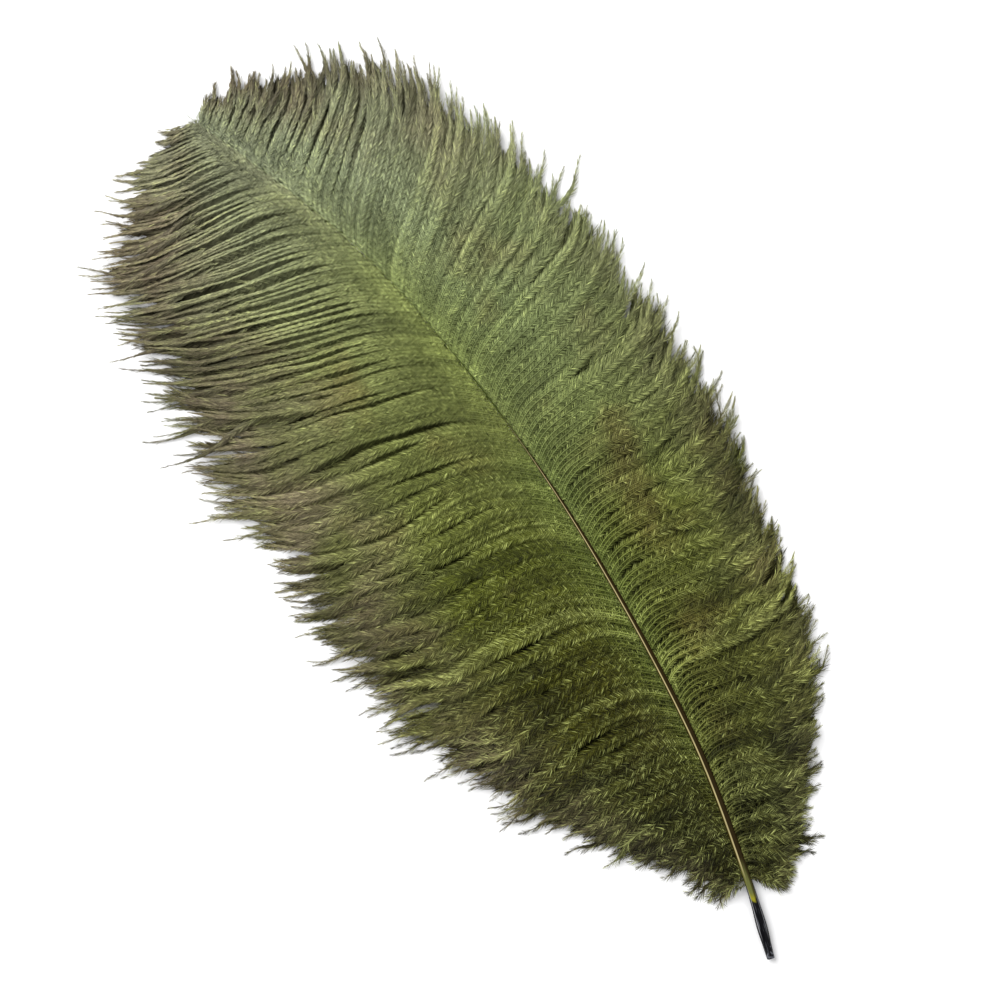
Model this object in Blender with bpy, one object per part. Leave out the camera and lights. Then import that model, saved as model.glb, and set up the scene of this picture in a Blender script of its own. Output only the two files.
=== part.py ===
"""An ostrich plume lying on a flat surface, as one solid.

The solid is what grew as one piece: the quill, the shaft that carries on from it, and the two vanes.
Each vane is a web of close-lying barbs along the shaft, out of which the locks of barbs run to their
pointed tips. The plume lies along +Y, quill end at low Y and best side up, and rests on Z = 0.
Headings are degrees away from +Y, towards the vane's own side.
"""

import math
import random
from typing import NamedTuple

import bmesh
import bpy
from mathutils import Vector

# Driving dimensions, in metres
PLUME_LENGTH = 0.400
QUILL_RADIUS = 0.0024
LOCK_HALF_WIDTH = 0.0092
WEB_HALF_WIDTH = 0.032

# How the plume lies in the frame: the quill's cut end, from the middle of the plume's outline
QUILL_END = Vector((-0.0200, -0.2005))

# The shaft, in shares of the plume's length: (along, sideways)
SHAFT_BOW = (
    (0.00, 0.0000),
    (0.08, 0.0265),
    (0.22, 0.0610),
    (0.40, 0.0830),
    (0.55, 0.0890),
    (0.70, 0.0815),
    (0.80, 0.0670),
    (0.90, 0.0390),
    (1.00, 0.0050),
)
# The height of the shaft's middle above the surface: (along, height), both as shares
SHAFT_RISE = (
    (0.00, 0.0044),
    (0.03, 0.0060),
    (0.08, 0.0085),
    (0.15, 0.0160),
    (0.27, 0.0255),
    (0.50, 0.0275),
    (0.72, 0.0255),
    (0.90, 0.0190),
    (1.00, 0.0120),
)
# The shaft's thickness: (along, share of the quill's radius)
SHAFT_TAPER = (
    (0.000, 0.62),
    (0.030, 1.00),
    (0.060, 0.78),
    (0.200, 0.70),
    (0.500, 0.48),
    (0.800, 0.32),
    (1.000, 0.22),
)
SHAFT_POINTS = 20
SHAFT_ROUNDNESS = 2
# Above 1, the shaft's points lie closer together at the quill, where its thickness changes most
SHAFT_CROWDING = 1.25

# The web: (along, share of its half width), flattened to a low dome cut off by the surface
WEB_SPREAD = (
    (0.06, 0.12),
    (0.08, 0.28),
    (0.15, 0.60),
    (0.27, 1.00),
    (0.50, 1.06),
    (0.72, 1.00),
    (0.90, 0.78),
    (0.985, 0.50),
)
WEB_POINTS = 15
WEB_FLATNESS = 0.35
WEB_ROUNDNESS = 1

# The locks of one vane, and the points along each
LOCKS_PER_VANE = 32
LOCK_POINTS = 9
FIRST_LOCK = 0.080
LAST_LOCK = 0.978
LOCK_TIP_HEIGHT = 0.0012
LOCK_TIP_RADIUS = 0.0006
# A lock's cross-section, in half widths: a rounded top over sides that go down to the surface
LOCK_SECTION = ((1.0, 0.0), (0.45, 0.38), (-0.35, 0.43), (-1.0, 0.0), (-1.0, -2.6), (1.0, -2.6))
# A lock's height between that of its tip and that of the shaft: (share of the lock, share of the way)
LOCK_DROOP = ((0.0, 0.55), (0.12, 0.70), (0.28, 0.60), (0.55, 0.22), (0.80, 0.07), (1.0, 0.00))
# The width of a lock: (share of the lock, share of its half width)
LOCK_SWELL = ((0.0, 0.34), (0.25, 0.66), (0.55, 1.00), (0.80, 0.74), (1.0, 0.00))
# A lock as long as this share of the plume has its full width, and the shortest have this share of it
FULL_WIDTH_LENGTH = 0.13
SHORT_LOCK_WIDTH = 0.15

# How uneven the locks are: the seed, and the ranges that their lengths, headings and widths are drawn from
UNEVEN_SEED = 11
LENGTH_SHARES = (0.90, 1.04)
HEADING_SHIFTS = (-5.0, 5.0)
WIDTH_SHARES = (0.88, 1.10)

# The floor cutter
FLOOR_MARGIN = 0.05
FLOOR_DEPTH = 0.05

WELD_DISTANCE = 0.00001
SMOOTH_ANGLE = math.radians(40)


class Growth(NamedTuple):
    """How the barbs grow at one place along the shaft; lengths are shares of the plume's length."""

    along: float
    length: float
    root: float
    middle: float
    tip: float


RIGHT_VANE = (
    Growth(0.08, 0.064, 70, 120, 110),
    Growth(0.11, 0.095, 62, 108, 90),
    Growth(0.15, 0.130, 54, 103, 78),
    Growth(0.24, 0.188, 50, 108, 62),
    Growth(0.35, 0.205, 48, 108, 52),
    Growth(0.50, 0.222, 44, 96, 50),
    Growth(0.65, 0.218, 40, 76, 42),
    Growth(0.78, 0.215, 32, 50, 24),
    Growth(0.88, 0.140, 25, 60, 32),
    Growth(1.00, 0.016, 30, 55, 50),
)
LEFT_VANE = (
    Growth(0.08, 0.046, 62, 88, 70),
    Growth(0.11, 0.075, 58, 86, 70),
    Growth(0.15, 0.125, 54, 86, 70),
    Growth(0.24, 0.225, 46, 86, 62),
    Growth(0.35, 0.280, 42, 86, 58),
    Growth(0.50, 0.312, 42, 80, 52),
    Growth(0.65, 0.308, 46, 72, 46),
    Growth(0.78, 0.270, 54, 74, 52),
    Growth(0.88, 0.200, 56, 80, 62),
    Growth(1.00, 0.016, 50, 75, 65),
)
VANES = ((1, RIGHT_VANE), (-1, LEFT_VANE))
# Where along a lock its middle heading is reached, and where it starts to turn to its tip's heading
TURNED_OUT = 0.38
TURNING_IN = 0.62

VANE_COLOUR = (0.115, 0.130, 0.062, 1.0)
VANE_ROUGHNESS = 0.75


def smooth_value(points: tuple, at: float) -> float:
    """Reads a smooth curve through (place, value) points at one place."""
    if at <= points[0][0]:
        return points[0][1]
    if at >= points[-1][0]:
        return points[-1][1]
    after = next(i for i, point in enumerate(points) if point[0] > at)
    slopes = []
    for i in (after - 1, after):
        low, high = points[max(i - 1, 0)], points[min(i + 1, len(points) - 1)]
        slopes.append((high[1] - low[1]) / (high[0] - low[0]))
    (start, a), (end, b) = points[after - 1], points[after]
    run = end - start
    t = (at - start) / run
    return (
        (1 + 2 * t) * (1 - t) ** 2 * a
        + t * (1 - t) ** 2 * run * slopes[0]
        + t * t * (3 - 2 * t) * b
        + t * t * (t - 1) * run * slopes[1]
    )


def ease(t: float) -> float:
    """A smooth step from 0 to 1."""
    t = min(max(t, 0.0), 1.0)
    return t * t * (3 - 2 * t)


def shaft_point(along: float) -> Vector:
    """The middle of the shaft at a share of the plume's length."""
    return Vector(
        (
            QUILL_END.x + smooth_value(SHAFT_BOW, along) * PLUME_LENGTH,
            QUILL_END.y + along * PLUME_LENGTH,
            smooth_value(SHAFT_RISE, along) * PLUME_LENGTH,
        )
    )


def growth_at(vane: tuple, along: float) -> Growth:
    """The barbs' length and headings at any place along the shaft."""
    values = [
        smooth_value(tuple((g.along, g[field]) for g in vane), along)
        for field in range(1, len(Growth._fields))
    ]
    return Growth(along, *values)


def heading_at(growth: Growth, share: float) -> float:
    """A barb's heading in radians at a share of its length: out from the root, then in at the tip."""
    outward = growth.root + (growth.middle - growth.root) * ease(share / TURNED_OUT)
    inward = (growth.tip - growth.middle) * ease((share - TURNING_IN) / (1 - TURNING_IN))
    return math.radians(outward + inward)


def lock_path(side: int, vane: tuple, along: float, chance: random.Random) -> list:
    """The middle line of one lock, as (point, radius) pairs from the shaft to its tip."""
    growth = growth_at(vane, along)
    length = growth.length * PLUME_LENGTH * chance.uniform(*LENGTH_SHARES)
    turn = math.radians(chance.uniform(*HEADING_SHIFTS))
    fullness = min(1.0, SHORT_LOCK_WIDTH + (1 - SHORT_LOCK_WIDTH) * growth.length / FULL_WIDTH_LENGTH)
    half_width = LOCK_HALF_WIDTH * fullness * chance.uniform(*WIDTH_SHARES)
    place = shaft_point(along)
    root_height = place.z
    steps = LOCK_POINTS - 1
    path = []
    for i in range(LOCK_POINTS):
        share = i / steps
        if i:
            heading = heading_at(growth, share - 0.5 / steps) + turn * share
            place = place + Vector((side * math.sin(heading), math.cos(heading), 0)) * length / steps
        height = LOCK_TIP_HEIGHT + (root_height - LOCK_TIP_HEIGHT) * smooth_value(LOCK_DROOP, share)
        radius = max(half_width * smooth_value(LOCK_SWELL, share), LOCK_TIP_RADIUS)
        path.append((Vector((place.x, place.y, height)), radius))
    return path


def new_path_curve(name: str, path: list, flatness: float) -> bpy.types.Object:
    """An open curve along (point, radius) pairs, to be flattened in height by its object's scale."""
    curve = bpy.data.curves.new(name, "CURVE")
    curve.dimensions = "3D"
    curve.twist_mode = "Z_UP"
    curve.use_fill_caps = True
    spline = curve.splines.new("POLY")
    spline.points.add(len(path) - 1)
    for point, (place, radius) in zip(spline.points, path):
        point.co = (place.x, place.y, place.z / flatness, 1.0)
        point.radius = radius
    holder = bpy.data.objects.new(name, curve)
    holder.scale.z = flatness
    bpy.context.scene.collection.objects.link(holder)
    return holder


def closed_mesh(holder: bpy.types.Object) -> bpy.types.Object:
    """Turns a curve object into a mesh object with its caps welded, and removes the curve."""
    name = holder.name
    bpy.context.view_layer.update()
    evaluated = holder.evaluated_get(bpy.context.evaluated_depsgraph_get())
    mesh = bpy.data.meshes.new_from_object(evaluated)
    mesh.transform(holder.matrix_world)
    curve = holder.data
    bpy.data.objects.remove(holder)
    bpy.data.curves.remove(curve)
    body = bmesh.new()
    body.from_mesh(mesh)
    bmesh.ops.remove_doubles(body, verts=body.verts, dist=WELD_DISTANCE)
    bmesh.ops.recalc_face_normals(body, faces=body.faces)
    body.to_mesh(mesh)
    body.free()
    return bpy.data.objects.new(name, mesh)


def round_tube(name: str, path: list, flatness: float, roundness: int) -> bpy.types.Object:
    """A closed round tube along a path, flattened in height."""
    holder = new_path_curve(name, path, flatness)
    holder.data.bevel_depth = 1.0
    holder.data.bevel_resolution = roundness
    return closed_mesh(holder)


def make_lock_section() -> bpy.types.Object:
    """The cross-section that the locks are drawn out with."""
    curve = bpy.data.curves.new("lock_section", "CURVE")
    curve.dimensions = "2D"
    spline = curve.splines.new("POLY")
    spline.points.add(len(LOCK_SECTION) - 1)
    for point, (across, up) in zip(spline.points, LOCK_SECTION):
        point.co = (across, up, 0.0, 1.0)
    spline.use_cyclic_u = True
    return bpy.data.objects.new("lock_section", curve)


def make_shaft() -> bpy.types.Object:
    """The quill and the shaft, as one tapered tube."""
    path = []
    for i in range(SHAFT_POINTS):
        along = (i / (SHAFT_POINTS - 1)) ** SHAFT_CROWDING
        path.append((shaft_point(along), QUILL_RADIUS * smooth_value(SHAFT_TAPER, along)))
    return round_tube("feather", path, 1.0, SHAFT_ROUNDNESS)


def make_web() -> bpy.types.Object:
    """The close-lying inner parts of both vanes, as a low dome under the shaft."""
    first, last = WEB_SPREAD[0][0], WEB_SPREAD[-1][0]
    path = []
    for i in range(WEB_POINTS):
        along = first + (last - first) * i / (WEB_POINTS - 1)
        place = shaft_point(along)
        path.append((Vector((place.x, place.y, 0)), WEB_HALF_WIDTH * smooth_value(WEB_SPREAD, along)))
    return round_tube("web", path, WEB_FLATNESS, WEB_ROUNDNESS)


def make_locks(section: bpy.types.Object) -> list:
    """The locks of both vanes, drawn out along their paths."""
    locks = []
    chance = random.Random(UNEVEN_SEED)
    for side, vane in VANES:
        for i in range(LOCKS_PER_VANE):
            along = FIRST_LOCK + (LAST_LOCK - FIRST_LOCK) * i / (LOCKS_PER_VANE - 1)
            path = lock_path(side, vane, along, chance)
            name = f"lock_{'right' if side > 0 else 'left'}_{i:02d}"
            holder = new_path_curve(name, path, 1.0)
            holder.data.bevel_mode = "OBJECT"
            holder.data.bevel_object = section
            locks.append(closed_mesh(holder))
    return locks


def make_floor_cutter() -> bpy.types.Object:
    """A block under the surface that the plume lies on."""
    size = PLUME_LENGTH + 2 * FLOOR_MARGIN
    bpy.ops.mesh.primitive_cube_add(size=1.0, location=(0, 0, -FLOOR_DEPTH / 2))
    cutter = bpy.context.object
    cutter.name = "floor_cutter"
    cutter.scale = (size, size, FLOOR_DEPTH)
    bpy.ops.object.transform_apply(location=False, rotation=False, scale=True)
    for collection in list(cutter.users_collection):
        collection.objects.unlink(cutter)
    return cutter


def vane_material() -> bpy.types.Material:
    """Dyed olive barbs."""
    material = bpy.data.materials.new("dyed_barbs")
    material.use_nodes = True
    shader = material.node_tree.nodes["Principled BSDF"]
    shader.inputs["Base Color"].default_value = VANE_COLOUR
    shader.inputs["Roughness"].default_value = VANE_ROUGHNESS
    shader.inputs["Metallic"].default_value = 0.0
    return material


def keep_as_cutter(piece: bpy.types.Object, collection: bpy.types.Collection) -> None:
    """Puts a piece that only serves a Boolean where it is neither rendered nor built."""
    collection.objects.link(piece)
    piece.hide_render = True
    piece.display_type = "WIRE"


def add_boolean(target: bpy.types.Object, name: str, operation: str) -> bpy.types.BooleanModifier:
    """Adds a Boolean to the target, with the solver for closed pieces that cross many times."""
    boolean = target.modifiers.new(name, "BOOLEAN")
    boolean.operation = operation
    boolean.solver = "MANIFOLD"
    return boolean


def main() -> None:
    """Builds the plume."""
    for piece in list(bpy.data.objects):
        bpy.data.objects.remove(piece)
    plume_parts = bpy.data.collections.new("ostrich_feather")
    grown_on = bpy.data.collections.new("web_and_locks")
    cutters = bpy.data.collections.new("cutters")
    for collection in (plume_parts, grown_on, cutters):
        bpy.context.scene.collection.children.link(collection)
    grown_on.hide_render = True
    cutters.hide_render = True

    feather = make_shaft()
    plume_parts.objects.link(feather)
    section = make_lock_section()
    keep_as_cutter(section, cutters)
    for piece in [make_web(), *make_locks(section)]:
        keep_as_cutter(piece, grown_on)
    floor_cutter = make_floor_cutter()
    keep_as_cutter(floor_cutter, cutters)

    union = add_boolean(feather, "vanes", "UNION")
    union.operand_type = "COLLECTION"
    union.collection = grown_on
    add_boolean(feather, "resting_face", "DIFFERENCE").object = floor_cutter
    feather.data.materials.clear()
    feather.data.materials.append(vane_material())
    feather.data.shade_smooth()
    feather.data.set_sharp_from_angle(angle=SMOOTH_ANGLE)


main()
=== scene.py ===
"""Dresses a dyed ostrich plume that lies on a pale surface.

The plume is one grown piece: a black quill, an olive shaft and two vanes of barbs, each barb carrying two
rows of fine barbules. The barbs bend out from the shaft, droop to the surface and gather into locks close
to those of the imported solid, so every piece here stands for that solid. Lengths are in metres unless a name
says otherwise, headings are degrees away from +Y towards a vane's own side, and shares run from 0 to 1.
"""

import logging
import math
import random
from dataclasses import dataclass, field, replace
from enum import Enum
from typing import NamedTuple

import bpy
import numpy as np
from mathutils import Matrix, Vector


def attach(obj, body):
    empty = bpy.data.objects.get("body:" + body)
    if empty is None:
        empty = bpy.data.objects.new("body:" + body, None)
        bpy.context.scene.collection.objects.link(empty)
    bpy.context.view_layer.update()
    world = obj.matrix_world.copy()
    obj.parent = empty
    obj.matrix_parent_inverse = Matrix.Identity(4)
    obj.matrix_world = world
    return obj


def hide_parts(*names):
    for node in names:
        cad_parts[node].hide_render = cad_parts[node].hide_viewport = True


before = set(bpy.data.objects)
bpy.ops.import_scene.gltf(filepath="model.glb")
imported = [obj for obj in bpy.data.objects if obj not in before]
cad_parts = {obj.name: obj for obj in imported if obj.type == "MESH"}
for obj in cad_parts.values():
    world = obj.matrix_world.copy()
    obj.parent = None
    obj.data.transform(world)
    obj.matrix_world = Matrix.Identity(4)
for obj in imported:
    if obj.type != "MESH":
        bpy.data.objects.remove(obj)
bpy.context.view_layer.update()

NODE = "feather"
BODY = "root"
UP = np.array((0.0, 0.0, 1.0))

log = logging.getLogger("plume")


class Side(Enum):
    """The vane that a barb belongs to, with the sign of its sideways direction."""

    RIGHT = 1
    LEFT = -1


class Coat(Enum):
    """The layers of barbs that a vane has."""

    OUTER = "outer"
    UNDER = "under"
    FRINGE = "fringe"


def ease(share: np.ndarray) -> np.ndarray:
    """A smooth step from 0 to 1."""
    share = np.clip(share, 0.0, 1.0)
    return share * share * (3 - 2 * share)


def unit(vectors: np.ndarray) -> np.ndarray:
    """Vectors at length 1."""
    return vectors / np.maximum(np.linalg.norm(vectors, axis=-1, keepdims=True), 1e-12)


@dataclass(frozen=True)
class SmoothCurve:
    """A smooth curve through a few (place, value) points."""

    points: tuple[tuple[float, float], ...]

    def __call__(self, at: np.ndarray | float) -> np.ndarray:
        """Reads the curve.

        Args:
            at: The places to read it at.

        Returns:
            The values there, held level past both ends.
        """
        place, value = np.array(self.points, float).T
        ends = np.diff(value) / np.diff(place)
        slope = np.concatenate((ends[:1], (value[2:] - value[:-2]) / (place[2:] - place[:-2]), ends[-1:]))
        at = np.clip(np.asarray(at, float), place[0], place[-1])
        after = np.clip(np.searchsorted(place, at, side="right"), 1, len(place) - 1)
        before = after - 1
        run = place[after] - place[before]
        t = (at - place[before]) / run
        return (
            (1 + 2 * t) * (1 - t) ** 2 * value[before]
            + t * (1 - t) ** 2 * run * slope[before]
            + t * t * (3 - 2 * t) * value[after]
            + t * t * (t - 1) * run * slope[after]
        )


def curve(*points: tuple[float, float]) -> SmoothCurve:
    """A smooth curve through (place, value) points."""
    return SmoothCurve(points)


def by_side(right: SmoothCurve, left: SmoothCurve | None = None) -> dict[Side, SmoothCurve]:
    """A curve for each vane; both share the right one's where no left one is given."""
    return {Side.RIGHT: right, Side.LEFT: left or right}


class Onset(NamedTuple):
    """Where along a barb something sets in, and the share of its length over which it does."""

    start: float
    run: float

    def __call__(self, share: np.ndarray) -> np.ndarray:
        """How far it has set in, from 0 to 1."""
        return ease((share - self.start) / self.run)


def read_between(rows: np.ndarray, which: np.ndarray, share: np.ndarray) -> np.ndarray:
    """Reads rows of evenly spaced points anywhere between them, going straight on past the last.

    Args:
        rows: One row per line, one column per point.
        which: The row to read, one per reading.
        share: The share of the row to read at.

    Returns:
        One point per reading.
    """
    spot = share * (rows.shape[1] - 1)
    low = np.clip(spot.astype(int), 0, rows.shape[1] - 2)
    part = (spot - low)[..., None]
    return rows[which, low] * (1 - part) + rows[which, low + 1] * part


def across_lines(ahead: np.ndarray) -> np.ndarray:
    """The level directions across the given ones."""
    return unit(np.cross(ahead, UP))


@dataclass
class MeshParts:
    """Vertices, faces, attributes and a map of one mesh, joined from many small runs."""

    places: list[np.ndarray] = field(default_factory=list)
    corners: list[np.ndarray] = field(default_factory=list)
    sizes: list[np.ndarray] = field(default_factory=list)
    values: dict[str, list[np.ndarray]] = field(default_factory=dict)
    map_places: list[np.ndarray] = field(default_factory=list)
    count: int = 0

    def add(
        self,
        places: np.ndarray,
        faces: list[np.ndarray],
        values: dict[str, np.ndarray],
        map_places: np.ndarray,
    ) -> None:
        """Adds a run of geometry.

        Args:
            places: One row per vertex.
            faces: Arrays of vertex numbers, one row per face, each array of one face size.
            values: One number per vertex for each attribute.
            map_places: Each vertex's place on the map.
        """
        self.places.append(places)
        for rows in faces:
            self.corners.append((rows + self.count).ravel())
            self.sizes.append(np.full(len(rows), rows.shape[1]))
        for name, numbers in values.items():
            self.values.setdefault(name, []).append(numbers)
        self.map_places.append(map_places)
        self.count += len(places)

    def to_object(self, name: str, material: bpy.types.Material) -> bpy.types.Object:
        """Makes the mesh and its object.

        Args:
            name: The piece's name.
            material: The material that the whole piece wears.

        Returns:
            The new object, linked to the scene.
        """
        mesh = bpy.data.meshes.new(name)
        places = np.concatenate(self.places).astype(np.float32)
        corners = np.concatenate(self.corners).astype(np.int32)
        sizes = np.concatenate(self.sizes).astype(np.int32)
        starts = np.concatenate(([0], np.cumsum(sizes)[:-1])).astype(np.int32)
        mesh.vertices.add(len(places))
        mesh.vertices.foreach_set("co", places.ravel())
        mesh.loops.add(len(corners))
        mesh.loops.foreach_set("vertex_index", corners)
        mesh.polygons.add(len(sizes))
        mesh.polygons.foreach_set("loop_start", starts)
        for attribute, numbers in self.values.items():
            layer = mesh.attributes.new(attribute, "FLOAT", "POINT")
            layer.data.foreach_set("value", np.concatenate(numbers).astype(np.float32))
        layer = mesh.uv_layers.new(name="OFBake")
        map_places = np.concatenate(self.map_places).astype(np.float32)[corners]
        layer.uv.foreach_set("vector", map_places.ravel())
        mesh.update(calc_edges=True)
        mesh.shade_smooth()
        mesh.materials.append(material)
        piece = bpy.data.objects.new(name, mesh)
        bpy.context.scene.collection.objects.link(piece)
        return piece


@dataclass(frozen=True)
class ShaftLine:
    """The middle line of the quill and shaft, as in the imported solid."""

    plume_length: float = 0.400
    quill_end: tuple[float, float] = (-0.0200, -0.2005)
    bow: SmoothCurve = curve(
        (0.00, 0.0000), (0.08, 0.0265), (0.22, 0.0610), (0.40, 0.0830), (0.55, 0.0890),
        (0.70, 0.0815), (0.80, 0.0670), (0.90, 0.0390), (1.00, 0.0050),
    )
    rise: SmoothCurve = curve(
        (0.00, 0.0044), (0.03, 0.0060), (0.08, 0.0085), (0.15, 0.0160), (0.27, 0.0255),
        (0.50, 0.0275), (0.72, 0.0255), (0.90, 0.0190), (1.00, 0.0120),
    )

    def at(self, along: np.ndarray) -> np.ndarray:
        """Points on the line.

        Args:
            along: Shares of the plume's length.

        Returns:
            One (x, y, z) row per share.
        """
        along = np.asarray(along, float)
        x = self.quill_end[0] + self.bow(along) * self.plume_length
        y = self.quill_end[1] + along * self.plume_length
        z = self.rise(along) * self.plume_length
        return np.stack(np.broadcast_arrays(x, y, z), -1)


class Growth(NamedTuple):
    """How the barbs grow at one place along the shaft; the length is a share of the plume's."""

    along: float
    length: float
    root: float
    middle: float
    tip: float


@dataclass(frozen=True)
class VaneGrowth:
    """The length and headings of one vane's barbs, from a few places along the shaft."""

    side: Side
    growths: tuple[Growth, ...]
    turned_out: float = 0.38
    turning_in: float = 0.62
    turned_until: float = 0.72
    turn_fade: float = 0.4

    def turned(self, root: float, middle: float, tip: float, shorter: float) -> "VaneGrowth":
        """The same vane with headings turned further out near the quill, in degrees.

        Args:
            root: The extra turn of the barbs' roots.
            middle: The extra turn of their middles.
            tip: The extra turn of their tips.
            shorter: The share of their length that the barbs lose.

        Returns:
            The turned vane; the changes fade out towards the plume's end.
        """
        growths = []
        for g in self.growths:
            w = min(1.0, max(0.0, (self.turned_until - g.along) / self.turn_fade))
            headings = {"root": g.root + root * w, "middle": g.middle + middle * w, "tip": g.tip + tip * w}
            growths.append(g._replace(length=g.length * (1 - shorter * w), **headings))
        return replace(self, growths=tuple(growths))

    def read(self, name: str, along: np.ndarray) -> np.ndarray:
        """Reads one of Growth's fields at any shares of the plume's length."""
        return SmoothCurve(tuple((g.along, getattr(g, name)) for g in self.growths))(along)

    def headings(self, along: np.ndarray, share: np.ndarray) -> np.ndarray:
        """Headings in radians of barbs that grow at some places, at shares of their lengths.

        Args:
            along: Where the barbs grow, one per barb.
            share: Shares of a barb's length, one per point.

        Returns:
            One row per barb and one column per point.
        """
        root, middle, tip = (self.read(n, along)[:, None] for n in ("root", "middle", "tip"))
        outward = root + (middle - root) * ease(share / self.turned_out)
        inward = (tip - middle) * ease((share - self.turning_in) / (1 - self.turning_in))
        return np.radians(outward + inward)


def grown(*rows: tuple[float, float, float, float, float]) -> tuple[Growth, ...]:
    """Growths from rows of their numbers."""
    return tuple(Growth(*row) for row in rows)


RIGHT_GROWTH = VaneGrowth(
    Side.RIGHT,
    grown(
        (0.08, 0.050, 92, 152, 152),
        (0.11, 0.082, 72, 126, 112),
        (0.15, 0.122, 58, 112, 90),
        (0.24, 0.188, 50, 108, 62),
        (0.35, 0.205, 48, 108, 52),
        (0.50, 0.222, 44, 96, 50),
        (0.65, 0.218, 40, 76, 42),
        (0.78, 0.209, 32, 50, 24),
        (0.88, 0.140, 25, 60, 32),
        (1.00, 0.016, 30, 55, 50),
    ),
)
LEFT_GROWTH = VaneGrowth(
    Side.LEFT,
    grown(
        (0.08, 0.034, 70, 100, 96),
        (0.11, 0.062, 58, 88, 74),
        (0.15, 0.125, 54, 86, 70),
        (0.24, 0.229, 46, 86, 62),
        (0.35, 0.290, 42, 86, 58),
        (0.50, 0.328, 42, 80, 52),
        (0.65, 0.315, 46, 72, 46),
        (0.78, 0.270, 54, 74, 52),
        (0.88, 0.200, 56, 80, 62),
        (1.00, 0.016, 50, 75, 65),
    ),
)

RIGHT_SEEN = replace(RIGHT_GROWTH, turned_out=0.24, turned_until=0.80).turned(16.0, 0.0, 0.0, 0.05)
LEFT_SEEN = replace(LEFT_GROWTH, turned_out=0.34).turned(6.0, 9.0, 17.0, 0.0)


@dataclass(frozen=True)
class LockPlan:
    """The locks that the barbs gather into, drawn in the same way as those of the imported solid."""

    seed: int = 11
    per_vane: int = 32
    first: float = 0.080
    last: float = 0.978
    half_width: float = 0.0092
    length_shares: tuple[float, float] = (0.90, 1.04)
    heading_shifts: tuple[float, float] = (-5.0, 5.0)
    width_shares: tuple[float, float] = (0.88, 1.10)
    full_width_length: float = 0.13
    short_width: float = 0.15
    swell: SmoothCurve = curve((0.0, 0.34), (0.25, 0.66), (0.55, 1.00), (0.80, 0.74), (1.0, 0.10))

    def draw(self) -> dict[Side, np.ndarray]:
        """Draws every lock's length share, turn and width share.

        Returns:
            For each side, one row of the three per lock.
        """
        chance = random.Random(self.seed)
        ranges = (self.length_shares, self.heading_shifts, self.width_shares)
        return {
            side: np.array([[chance.uniform(*r) for r in ranges] for _ in range(self.per_vane)])
            for side in (Side.RIGHT, Side.LEFT)
        }

    def places(self) -> np.ndarray:
        """Where the locks grow, as shares of the plume's length."""
        return np.linspace(self.first, self.last, self.per_vane)


@dataclass(frozen=True)
class BarbRun:
    """The middle lines of a group of barbs, with a number or two for each."""

    points: np.ndarray
    along: np.ndarray
    tone: np.ndarray
    length: np.ndarray
    side: Side
    start: float = 0.0

    def part(self, chosen: np.ndarray) -> "BarbRun":
        """The barbs that a mask chooses."""
        names = ("points", "along", "tone", "length")
        return replace(self, **{name: getattr(self, name)[chosen] for name in names})

    def outer_end(self, start: float, count: int = 15) -> "BarbRun":
        """The barbs' outer ends alone.

        Args:
            start: The share of a barb's length that they start from.
            count: How many points each of them has.

        Returns:
            The run of outer ends.
        """
        share = np.broadcast_to(np.linspace(start, 1.0, count), (len(self.points), count))
        points = self.read(self.points, np.arange(len(self.points))[:, None], share)
        return replace(self, points=points, start=start)

    def shares(self, count: int, end: float = 1.0) -> np.ndarray:
        """Even shares of a barb's length, from where the run starts to an end."""
        return np.linspace(self.start, end, count)

    def on_map(self, share: np.ndarray) -> np.ndarray:
        """Where a share of a barb's length lies across the map."""
        return (share - self.start) / (1 - self.start)

    def tangents(self) -> np.ndarray:
        """The direction of each barb at each of its points."""
        return unit(np.gradient(self.points, axis=1))

    def read(self, rows: np.ndarray, barb: np.ndarray, share: np.ndarray) -> np.ndarray:
        """Reads what is held at the barbs' points at any shares of their length."""
        return read_between(rows, barb, self.on_map(share))


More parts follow.
